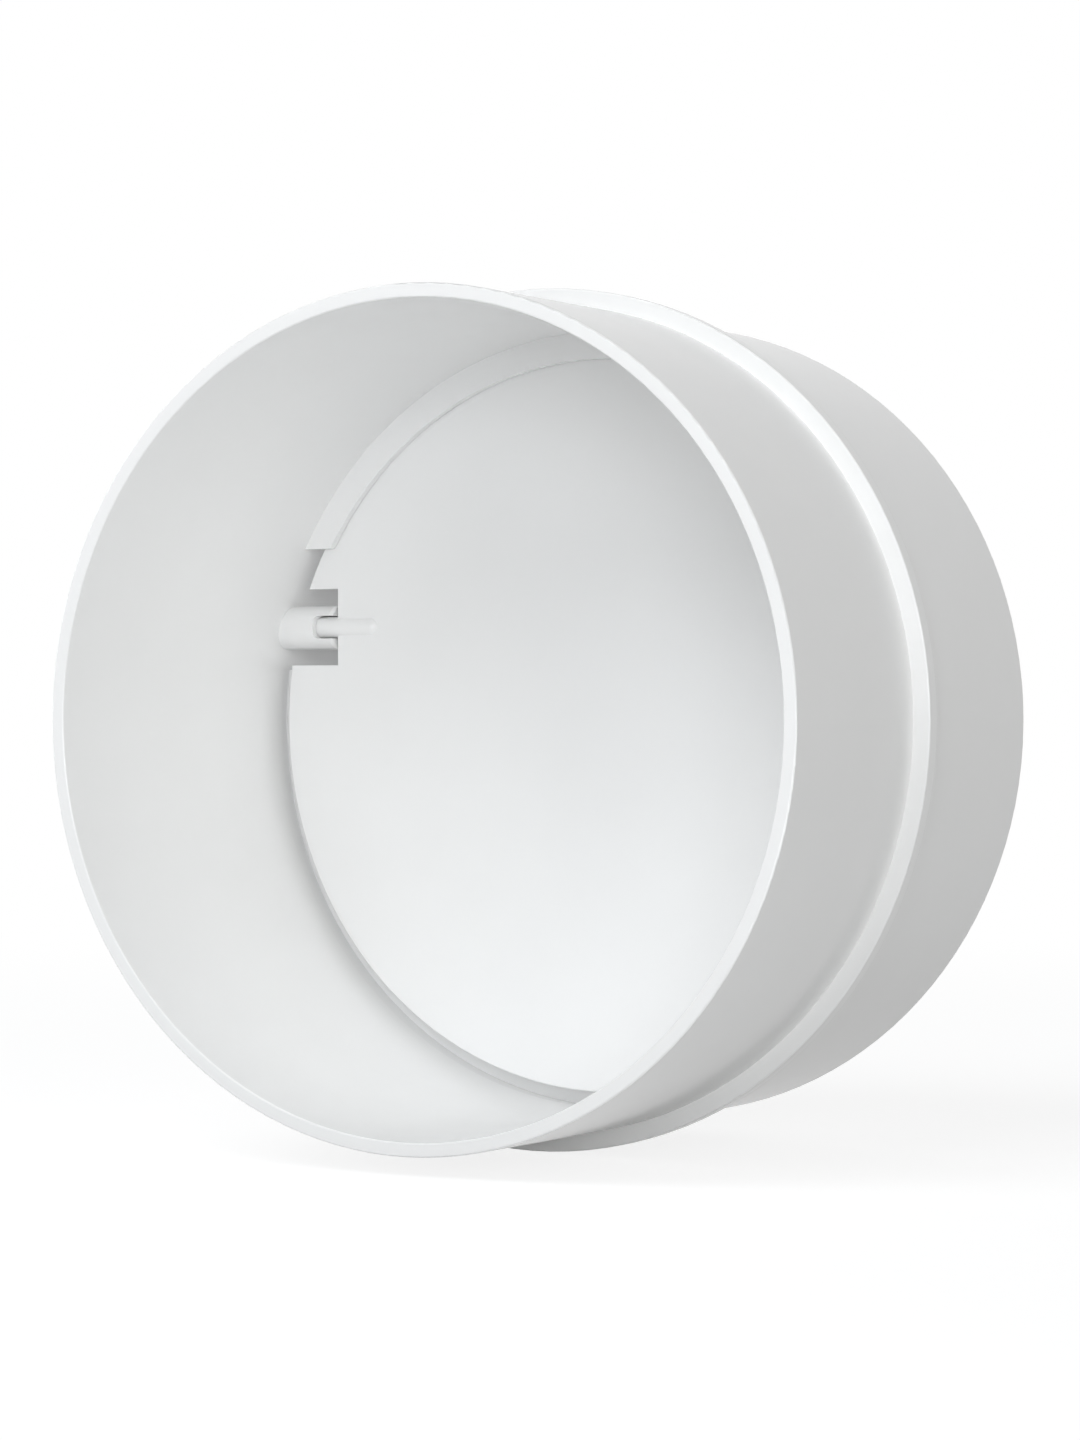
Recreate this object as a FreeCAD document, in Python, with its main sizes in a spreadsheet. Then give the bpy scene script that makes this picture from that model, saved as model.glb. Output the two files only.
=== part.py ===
import FreeCAD, Part
import math
import os

# Round duct connector with a gravity backdraft flap: a sleeve moulding and a flap moulding.
# Millimetres. The tube axis is Y, the front opening faces -Y, +Z is up, and the origin is on the axis
# in the middle of the stop flange.

SIZES = {
    # sleeve
    "spigot_diameter": 99.2,     # outside of both spigots, a loose fit in a 100 mm duct
    "spigot_length": 29.8,       # from each rim to the flange
    "front_wall": 1.65,          # at the front rim
    "seat_wall": 1.8,            # beside the flap, where the bore is narrowest
    "rear_wall": 1.25,           # at the rear rim
    "seat_setback": 0.3,         # from the flap's face to the bore's narrowest place
    "flange_height": 2.1,
    "flange_thickness": 2.1,
    "rim_rounding": 0.2,
    # flap
    "flap_setback": 14.5,        # from the flange's middle to the flap's front face
    "flap_thickness": 1.7,
    "flap_gap": 1.9,             # between the flap's rim and the bore
    "flap_chamfer": 0.15,
    # stop ledges, the upper one in front of the flap and the lower one behind it
    "ledge_width": 3.35,
    "ledge_thickness": 1.05,
    "upper_seat_gap": 0.1,
    "lower_seat_gap": 0.95,
    "upper_ledge_rise": 10.0,    # from the pivot up to the upper ledge's ends
    "lower_ledge_drop": 5.4,     # from the pivot down to the lower ledge's ends
    # hinge
    "pivot_height": 11.9,        # above the tube axis
    "pin_diameter": 2.7,
    "pin_clearance": 0.1,
    "pin_length": 4.3,           # out of the notch's edge
    "pin_end_gap": 0.15,         # from the pin's end to the bottom of its hole
    "pin_rounding": 0.4,
    "ridge_length": 6.1,         # of the pin's half-round run on the flap
    "ridge_rounding": 1.2,       # at the ridge's inner end
    "boss_diameter": 5.6,
    "boss_setback": 0.5,         # from the pivot to the boss's axis
    "boss_end_gap": 0.45,        # from the boss to the notch's edge
    "boss_rounding": 0.4,
    "mouth_length": 3.0,         # of the slot that opens a pin's hole to the front, from the notch's edge
    "mouth_corner_radius": 0.6,
    "notch_clearance": 2.1,      # above and below the boss
    "notch_depth": 6.1,          # from the flap's rim at the pivot's height
}

doc = FreeCAD.newDocument("backdraft_damper")
sheet = doc.addObject("Spreadsheet::Sheet", "dims")
for row, (alias, value) in enumerate(SIZES.items(), start=1):
    sheet.set(f"A{row}", alias)
    sheet.set(f"B{row}", str(value))
    sheet.setAlias(f"B{row}", alias)
doc.recompute()

# Sizes that follow from the sheet
SPIGOT_RADIUS = "dims.spigot_diameter / 2"
FRONT_BORE_RADIUS = "(dims.spigot_diameter / 2 - dims.front_wall)"
BORE_RADIUS = "(dims.spigot_diameter / 2 - dims.seat_wall)"
REAR_BORE_RADIUS = "(dims.spigot_diameter / 2 - dims.rear_wall)"
MID_WALL_RADIUS = "(dims.spigot_diameter / 2 - dims.rear_wall / 2)"
FLANGE_RADIUS = "(dims.spigot_diameter / 2 + dims.flange_height)"
LEDGE_RADIUS = f"({BORE_RADIUS} - dims.ledge_width)"
HALF_LENGTH = "(dims.spigot_length + dims.flange_thickness / 2)"
SEAT_DEPTH = "(dims.flap_setback + dims.seat_setback)"
FLAP_RADIUS = f"({BORE_RADIUS} - dims.flap_gap)"
FLAP_BACK = "(dims.flap_setback + dims.flap_thickness)"
PIVOT_DEPTH = "(dims.flap_setback + dims.flap_thickness / 2)"
BOSS_DEPTH = f"({PIVOT_DEPTH} + dims.boss_setback)"
HOLE_RADIUS = "(dims.pin_diameter / 2 + dims.pin_clearance)"
NOTCH_HALF_HEIGHT = "(dims.boss_diameter / 2 + dims.notch_clearance)"
NOTCH_EDGE = f"(sqrt({FLAP_RADIUS} ^ 2 - dims.pivot_height ^ 2) - dims.notch_depth)"
BOSS_END = f"({NOTCH_EDGE} + dims.boss_end_gap)"
PIN_END = f"({NOTCH_EDGE} + dims.pin_length)"
HOLE_END = f"({PIN_END} + dims.pin_end_gap)"
MOUTH_END = f"({NOTCH_EDGE} + dims.mouth_length)"
RIDGE_END = f"({NOTCH_EDGE} - dims.ridge_length)"

ALONG_X = FreeCAD.Rotation(FreeCAD.Vector(0, 1, 0), 90)
ALONG_Y = FreeCAD.Rotation(FreeCAD.Vector(1, 0, 0), -90)
UPRIGHT = FreeCAD.Rotation()
SIDES = {"left": -1, "right": 1}


def primitive(kind, name, turn=UPRIGHT, at=("0", "0", "0"), **sizes):
    """A Part primitive with its sizes and its place bound to the sheet."""
    solid = doc.addObject(f"Part::{kind}", name)
    solid.Placement.Rotation = turn
    for axis, formula in zip("xyz", at):
        solid.setExpression(f"Placement.Base.{axis}", formula)
    for size, formula in sizes.items():
        solid.setExpression(size, formula)
    return solid


def cut(name, base, tool):
    result = doc.addObject("Part::Cut", name)
    result.Base = base
    result.Tool = tool
    return result


def common(name, base, tool):
    result = doc.addObject("Part::Common", name)
    result.Base = base
    result.Tool = tool
    return result


def fuse(name, shapes):
    result = doc.addObject("Part::MultiFuse", name)
    result.Shapes = shapes
    return result


def dressed(kind, name, base, size, wanted):
    """The base with a Fillet or Chamfer along the edges that wanted() picks."""
    doc.recompute()
    result = doc.addObject(f"Part::{kind}", name)
    result.Base = base
    edges = enumerate(base.Shape.Edges, start=1)
    result.Edges = [(number, size, size) for number, edge in edges if wanted(edge)]
    return result


def is_circle(edge):
    return isinstance(edge.Curve, Part.Circle)


def tube():
    """Two spigots and the stop flange, with rounded rims and a bore that narrows from both to the flap."""
    spigots = primitive("Cylinder", "spigots", ALONG_Y, ("0", f"-{HALF_LENGTH}", "0"),
                        Radius=SPIGOT_RADIUS, Height=f"2 * {HALF_LENGTH}")
    flange = primitive("Cylinder", "flange", ALONG_Y, ("0", "-dims.flange_thickness / 2", "0"),
                       Radius=FLANGE_RADIUS, Height="dims.flange_thickness")
    front_bore = primitive("Cone", "front_bore", ALONG_Y, ("0", f"-{HALF_LENGTH}", "0"),
                           Radius1=FRONT_BORE_RADIUS, Radius2=BORE_RADIUS,
                           Height=f"{HALF_LENGTH} + {SEAT_DEPTH}")
    rear_bore = primitive("Cone", "rear_bore", ALONG_Y, ("0", SEAT_DEPTH, "0"),
                          Radius1=BORE_RADIUS, Radius2=REAR_BORE_RADIUS,
                          Height=f"{HALF_LENGTH} - {SEAT_DEPTH}")
    plain = cut("plain_tube", fuse("tube_blank", [spigots, flange]), fuse("bores", [front_bore, rear_bore]))
    doc.recompute()
    rim = spigots.Height.Value / 2
    crest = flange.Radius.Value

    def on_rim_or_crest(edge):
        if not is_circle(edge):
            return False
        at_rim = math.isclose(abs(edge.Curve.Center.y), rim, abs_tol=1e-6)
        return at_rim or math.isclose(edge.Curve.Radius, crest, abs_tol=1e-6)

    return dressed("Fillet", "tube", plain, sheet.rim_rounding, on_rim_or_crest)


def ledge(name, front, bottom):
    """A stop ledge from mid-wall inwards: the part of a flat ring above the height given as bottom."""
    height = f"2 * {SPIGOT_RADIUS}"
    disc = primitive("Cylinder", f"{name}_disc", ALONG_Y, ("0", front, "0"),
                     Radius=MID_WALL_RADIUS, Height="dims.ledge_thickness")
    opening = primitive("Cylinder", f"{name}_opening", ALONG_Y, ("0", front, "0"),
                        Radius=LEDGE_RADIUS, Height="dims.ledge_thickness")
    kept = primitive("Box", f"{name}_extent", UPRIGHT, (f"-{SPIGOT_RADIUS}", front, bottom),
                     Length=f"2 * {SPIGOT_RADIUS}", Width="dims.ledge_thickness", Height=height)
    return common(name, cut(f"{name}_ring", disc, opening), kept)


def boss(side, sign):
    """A hinge boss along X, from mid-wall in to its rounded end beside the flap's notch."""
    reach = f"({SPIGOT_RADIUS} - {BOSS_END})"
    start = BOSS_END if sign > 0 else f"-{SPIGOT_RADIUS}"
    stub = primitive("Cylinder", f"{side}_stub", ALONG_X, (start, BOSS_DEPTH, "dims.pivot_height"),
                     Radius="dims.boss_diameter / 2", Height=reach)
    doc.recompute()
    end = stub.Placement.Base.x if sign > 0 else stub.Placement.Base.x + stub.Height.Value

    def at_end(edge):
        return is_circle(edge) and math.isclose(edge.Curve.Center.x, end, abs_tol=1e-6)

    round_stub = dressed("Fillet", f"{side}_round_stub", stub, sheet.boss_rounding, at_end)
    limit = primitive("Cylinder", f"{side}_boss_limit", ALONG_Y, ("0", "0", "0"),
                      Radius=MID_WALL_RADIUS, Height=HALF_LENGTH)
    return common(f"{side}_boss", round_stub, limit)


def pin_hole(side, sign):
    """The blind hole for a pin, and the slot that opens the hole's outer run to the front."""
    hole_start = NOTCH_EDGE if sign > 0 else f"-{HOLE_END}"
    hole = primitive("Cylinder", f"{side}_hole", ALONG_X, (hole_start, PIVOT_DEPTH, "dims.pivot_height"),
                     Radius=HOLE_RADIUS, Height=f"({HOLE_END} - {NOTCH_EDGE})")
    mouth_start = NOTCH_EDGE if sign > 0 else f"-{MOUTH_END}"
    mouth_front = f"{PIVOT_DEPTH} - dims.boss_diameter"
    mouth_bottom = f"dims.pivot_height - {HOLE_RADIUS}"
    mouth = primitive("Box", f"{side}_mouth", UPRIGHT, (mouth_start, mouth_front, mouth_bottom),
                      Length="dims.mouth_length", Width="dims.boss_diameter", Height=f"2 * {HOLE_RADIUS}")
    doc.recompute()
    end = mouth.Placement.Base.x + (mouth.Length.Value if sign > 0 else 0)

    def blind_corner(edge):
        along_y = abs(edge.tangentAt(edge.FirstParameter).y) > 0.999
        return along_y and math.isclose(edge.CenterOfMass.x, end, abs_tol=1e-6)

    round_mouth = dressed("Fillet", f"{side}_round_mouth", mouth, sheet.mouth_corner_radius, blind_corner)
    return fuse(f"{side}_pin_hole", [hole, round_mouth])


def make_sleeve():
    upper = ledge("upper_ledge", "dims.flap_setback - dims.upper_seat_gap - dims.ledge_thickness",
                  "dims.pivot_height + dims.upper_ledge_rise")
    lower = ledge("lower_ledge", f"{FLAP_BACK} + dims.lower_seat_gap",
                  f"dims.pivot_height - dims.lower_ledge_drop - 2 * {SPIGOT_RADIUS}")
    bosses = [boss(side, sign) for side, sign in SIDES.items()]
    holes = [pin_hole(side, sign) for side, sign in SIDES.items()]
    return cut("sleeve", fuse("sleeve_blank", [tube(), upper, lower, *bosses]), fuse("pin_holes", holes))


def notch(side, sign):
    """The space in the flap for a boss, out past the flap's rim."""
    length = f"({SPIGOT_RADIUS} - {NOTCH_EDGE})"
    start = NOTCH_EDGE if sign > 0 else f"-{SPIGOT_RADIUS}"
    return primitive("Box", f"{side}_notch", UPRIGHT,
                     (start, "dims.flap_setback", f"dims.pivot_height - {NOTCH_HALF_HEIGHT}"),
                     Length=length, Width="dims.flap_thickness", Height=f"2 * {NOTCH_HALF_HEIGHT}")


def pin(side, sign):
    """A stub pin that runs on over the flap as a ridge with a domed end."""
    start = RIDGE_END if sign > 0 else f"-{PIN_END}"
    shaft = primitive("Cylinder", f"{side}_shaft", ALONG_X, (start, PIVOT_DEPTH, "dims.pivot_height"),
                      Radius="dims.pin_diameter / 2", Height=f"({PIN_END} - {RIDGE_END})")
    doc.recompute()
    middle = shaft.Placement.Base.x + shaft.Height.Value / 2

    def at_pin_end(edge):
        return is_circle(edge) and sign * (edge.Curve.Center.x - middle) > 0

    def at_ridge_end(edge):
        return is_circle(edge) and sign * (edge.Curve.Center.x - middle) < 0

    round_shaft = dressed("Fillet", f"{side}_round_shaft", shaft, sheet.pin_rounding, at_pin_end)
    return dressed("Fillet", f"{side}_pin", round_shaft, sheet.ridge_rounding, at_ridge_end)


def plate():
    """The flap's notched disc, with its rim chamfered between the notches."""
    disc = primitive("Cylinder", "flap_disc", ALONG_Y, ("0", "dims.flap_setback", "0"),
                     Radius=FLAP_RADIUS, Height="dims.flap_thickness")
    notches = fuse("notches", [notch(side, sign) for side, sign in SIDES.items()])
    notched_disc = cut("notched_disc", disc, notches)
    return dressed("Chamfer", "flap_plate", notched_disc, sheet.flap_chamfer, is_circle)


def make_flap():
    return fuse("flap", [plate(), *(pin(side, sign) for side, sign in SIDES.items())])


subparts = [make_sleeve(), make_flap()]
doc.recompute()

for item in doc.Objects:
    if "Invalid" in item.State or "Error" in item.State:
        raise RuntimeError(f"{item.Name} failed: {item.State}")
for item in subparts:
    if item.Shape.isNull() or not item.Shape.isValid():
        raise RuntimeError(f"{item.Label} is not a valid shape")

os.makedirs("parts", exist_ok=True)
for item in subparts:
    item.Shape.exportStep(f"parts/{item.Label}.step")
    print(item.Label, "solids", len(item.Shape.Solids), "volume", round(item.Shape.Volume, 2))
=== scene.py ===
import math

import bpy
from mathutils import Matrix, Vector


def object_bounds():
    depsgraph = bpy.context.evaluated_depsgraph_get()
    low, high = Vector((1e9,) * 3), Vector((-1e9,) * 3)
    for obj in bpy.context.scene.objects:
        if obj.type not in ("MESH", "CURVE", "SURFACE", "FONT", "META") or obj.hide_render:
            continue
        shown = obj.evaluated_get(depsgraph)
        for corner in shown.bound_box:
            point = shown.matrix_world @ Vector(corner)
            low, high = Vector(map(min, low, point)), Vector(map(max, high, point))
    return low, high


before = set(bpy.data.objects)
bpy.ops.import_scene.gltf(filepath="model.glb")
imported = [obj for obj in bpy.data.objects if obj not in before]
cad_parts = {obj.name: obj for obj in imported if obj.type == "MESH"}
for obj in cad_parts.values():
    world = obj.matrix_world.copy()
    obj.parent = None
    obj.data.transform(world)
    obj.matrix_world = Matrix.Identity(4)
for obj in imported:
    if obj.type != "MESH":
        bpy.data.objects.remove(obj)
cad_low, cad_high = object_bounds()
scene = bpy.context.scene

# Camera: the photograph's viewing angle, distance and field of view
CAMERA_AZIMUTH = 30.0
CAMERA_ELEVATION = 0.0
CAMERA_DISTANCE = 0.479
CAMERA_LENS = 99.7
CAMERA_SENSOR = 36.0
CAMERA_CLIP = (0.01, 100.0)

# Plastic: white, satin, with a cloud pattern that shifts tone and gloss and a fine skin
PLASTIC_LOW = (0.925, 0.925, 0.92, 1.0)
PLASTIC_HIGH = (0.945, 0.945, 0.941, 1.0)
PLASTIC_IOR = 1.48
CLOUD_SCALE = 38.0
CLOUD_DETAIL = 4.0
CLOUD_ROUGHNESS = 0.55
CLOUD_SPAN = (0.3, 0.7)
GLOSS_SPAN = (0.16, 0.24)
SKIN_SCALE = 2600.0
SKIN_DETAIL = 2.0
SKIN_STRENGTH = 0.06
SKIN_DEPTH = 0.00005

# Surroundings: dim for the rays that carry light, white where they are seen
WORLD_COLOR = (1.0, 1.0, 1.0, 1.0)
WORLD_LIGHT = 0.2
WORLD_SEEN = 1.0

# Floor: grey paper for light, with a white card in front of the object (metres along Y)
FLOOR_REACH = 6.0
FLOOR_GAP = 0.0002
FLOOR_TONE = 0.6
CARD_TONE = 0.95
CARD_EDGE = (-0.05, -0.065)

# Floor as it is seen: pale with the object's shadow near it, white further away
SHADOW_TONE = (0.3, 0.3, 0.3, 1.0)
NEAR_GLOW = 0.82
FAR_GLOW = 1.0
FLOOR_FADE = (0.15, 0.5)

# Lamps: all at one distance, cool from the front and back and warm from the right
LAMP_DISTANCE = 1.5
COOL = (0.95, 0.975, 1.0)
WARM = (1.0, 0.99, 0.95)


def place_around(thing, azimuth, elevation, distance):
    """Put a thing where it faces the object; azimuth 0 is in front of the object, 90 on its right."""
    turn = math.radians(azimuth)
    rise = math.radians(elevation)
    across = math.sin(turn) * math.cos(rise)
    along = -math.cos(turn) * math.cos(rise)
    toward = Vector((across, along, math.sin(rise)))
    thing.location = toward * distance
    thing.rotation_euler = (-toward).to_track_quat("-Z", "Y").to_euler()
    scene.collection.objects.link(thing)


def make_camera():
    data = bpy.data.cameras.new("camera")
    data.lens = CAMERA_LENS
    data.sensor_width = CAMERA_SENSOR
    data.clip_start, data.clip_end = CAMERA_CLIP
    camera = bpy.data.objects.new("camera", data)
    place_around(camera, CAMERA_AZIMUTH, CAMERA_ELEVATION, CAMERA_DISTANCE)
    scene.camera = camera


def node(tree, kind, **values):
    """A shader node with its properties and its inputs set by name."""
    made = tree.nodes.new(kind)
    for key, value in values.items():
        if key in made.inputs:
            made.inputs[key].default_value = value
        else:
            setattr(made, key, value)
    return made


def remap(tree, value, source, target, interpolation="LINEAR"):
    """A value carried from the source range to the target range."""
    made = node(tree, "ShaderNodeMapRange", interpolation_type=interpolation)
    made.inputs["From Min"].default_value = source[0]
    made.inputs["From Max"].default_value = source[1]
    made.inputs["To Min"].default_value = target[0]
    made.inputs["To Max"].default_value = target[1]
    tree.links.new(value, made.inputs["Value"])
    return made.outputs["Result"]


def mix(tree, factor, first, second):
    """One shader where the factor is 0 and another where it is 1."""
    made = node(tree, "ShaderNodeMixShader")
    tree.links.new(factor, made.inputs[0])
    tree.links.new(first, made.inputs[1])
    tree.links.new(second, made.inputs[2])
    return made.outputs[0]


def larger(tree, first, second):
    made = node(tree, "ShaderNodeMath", operation="MAXIMUM")
    tree.links.new(first, made.inputs[0])
    tree.links.new(second, made.inputs[1])
    return made.outputs[0]


def seen_directly(tree):
    """1 for camera, glossy and transmission rays, 0 for the rays that carry light."""
    path = node(tree, "ShaderNodeLightPath")
    seen = larger(tree, path.outputs["Is Camera Ray"], path.outputs["Is Glossy Ray"])
    return larger(tree, seen, path.outputs["Is Transmission Ray"])


def plastic(name):
    """Satin moulded plastic: a faint cloudy tone, uneven gloss and a fine moulded skin."""
    material = bpy.data.materials.new(name)
    material.use_nodes = True
    tree = material.node_tree
    shader = tree.nodes["Principled BSDF"]
    shader.inputs["IOR"].default_value = PLASTIC_IOR

    place = node(tree, "ShaderNodeTexCoord")
    cloud = node(tree, "ShaderNodeTexNoise", Scale=CLOUD_SCALE, Detail=CLOUD_DETAIL)
    cloud.inputs["Roughness"].default_value = CLOUD_ROUGHNESS
    tree.links.new(place.outputs["Object"], cloud.inputs["Vector"])
    tone = node(tree, "ShaderNodeValToRGB")
    for stop, position, color in zip(tone.color_ramp.elements, CLOUD_SPAN, (PLASTIC_LOW, PLASTIC_HIGH)):
        stop.position = position
        stop.color = color
    tree.links.new(cloud.outputs["Fac"], tone.inputs["Fac"])
    tree.links.new(tone.outputs["Color"], shader.inputs["Base Color"])

    gloss = remap(tree, cloud.outputs["Fac"], (0.0, 1.0), GLOSS_SPAN)
    tree.links.new(gloss, shader.inputs["Roughness"])

    skin = node(tree, "ShaderNodeTexNoise", Scale=SKIN_SCALE, Detail=SKIN_DETAIL)
    tree.links.new(place.outputs["Object"], skin.inputs["Vector"])
    bump = node(tree, "ShaderNodeBump", Strength=SKIN_STRENGTH, Distance=SKIN_DEPTH)
    tree.links.new(skin.outputs["Fac"], bump.inputs["Height"])
    tree.links.new(bump.outputs["Normal"], shader.inputs["Normal"])
    return material


def dress():
    body = plastic("white_plastic")
    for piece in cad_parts.values():
        piece.data.materials.clear()
        piece.data.materials.append(body)


def make_world():
    world = bpy.data.worlds.new("studio")
    scene.world = world
    world.use_nodes = True
    tree = world.node_tree
    light = tree.nodes["Background"]
    light.inputs["Color"].default_value = WORLD_COLOR
    level = node(tree, "ShaderNodeMix")
    level.inputs["A"].default_value = WORLD_LIGHT
    level.inputs["B"].default_value = WORLD_SEEN
    tree.links.new(seen_directly(tree), level.inputs["Factor"])
    tree.links.new(level.outputs["Result"], light.inputs["Strength"])


def floor_paper():
    material = bpy.data.materials.new("floor_paper")
    material.use_nodes = True
    tree = material.node_tree
    tree.nodes.clear()
    place = node(tree, "ShaderNodeTexCoord")

    axes = node(tree, "ShaderNodeSeparateXYZ")
    tree.links.new(place.outputs["Object"], axes.inputs[0])
    card = remap(tree, axes.outputs["Y"], CARD_EDGE, (FLOOR_TONE, CARD_TONE))
    paper = node(tree, "ShaderNodeBsdfDiffuse")
    tree.links.new(card, paper.inputs["Color"])

    shadow = node(tree, "ShaderNodeBsdfDiffuse", Color=SHADOW_TONE)
    glow = node(tree, "ShaderNodeEmission", Strength=NEAR_GLOW)
    near = node(tree, "ShaderNodeAddShader")
    tree.links.new(shadow.outputs[0], near.inputs[0])
    tree.links.new(glow.outputs[0], near.inputs[1])
    far = node(tree, "ShaderNodeEmission", Strength=FAR_GLOW)
    distance = node(tree, "ShaderNodeVectorMath", operation="LENGTH")
    tree.links.new(place.outputs["Object"], distance.inputs[0])
    fade = remap(tree, distance.outputs["Value"], FLOOR_FADE, (0.0, 1.0), "SMOOTHSTEP")
    seen = mix(tree, fade, near.outputs[0], far.outputs[0])

    surface = mix(tree, seen_directly(tree), paper.outputs[0], seen)
    out = node(tree, "ShaderNodeOutputMaterial")
    tree.links.new(surface, out.inputs["Surface"])
    return material


def make_floor():
    height = cad_low.z - FLOOR_GAP
    corners = [
        (-FLOOR_REACH, -FLOOR_REACH, height),
        (FLOOR_REACH, -FLOOR_REACH, height),
        (FLOOR_REACH, FLOOR_REACH, height),
        (-FLOOR_REACH, FLOOR_REACH, height),
    ]
    mesh = bpy.data.meshes.new("floor")
    mesh.from_pydata(corners, [], [(0, 1, 2, 3)])
    mesh.materials.append(floor_paper())
    floor = bpy.data.objects.new("floor", mesh)
    scene.collection.objects.link(floor)


def softbox(name, azimuth, elevation, size, power, color):
    """A square soft lamp that faces the object."""
    data = bpy.data.lights.new(name, "AREA")
    data.shape = "SQUARE"
    data.size = size
    data.energy = power
    data.color = color
    lamp = bpy.data.objects.new(name, data)
    place_around(lamp, azimuth, elevation, LAMP_DISTANCE)


make_camera()
dress()
make_world()
make_floor()
softbox("front_left", azimuth=-30, elevation=45, size=0.8, power=5.2, color=COOL)
softbox("front_high", azimuth=0, elevation=47, size=0.8, power=5.0, color=COOL)
softbox("front", azimuth=27, elevation=4, size=0.6, power=7.0, color=COOL)
softbox("right", azimuth=60, elevation=5, size=0.6, power=4.6, color=WARM)
softbox("back_left", azimuth=-122, elevation=10, size=0.6, power=5.0, color=COOL)

scene.view_settings.view_transform = "Standard"
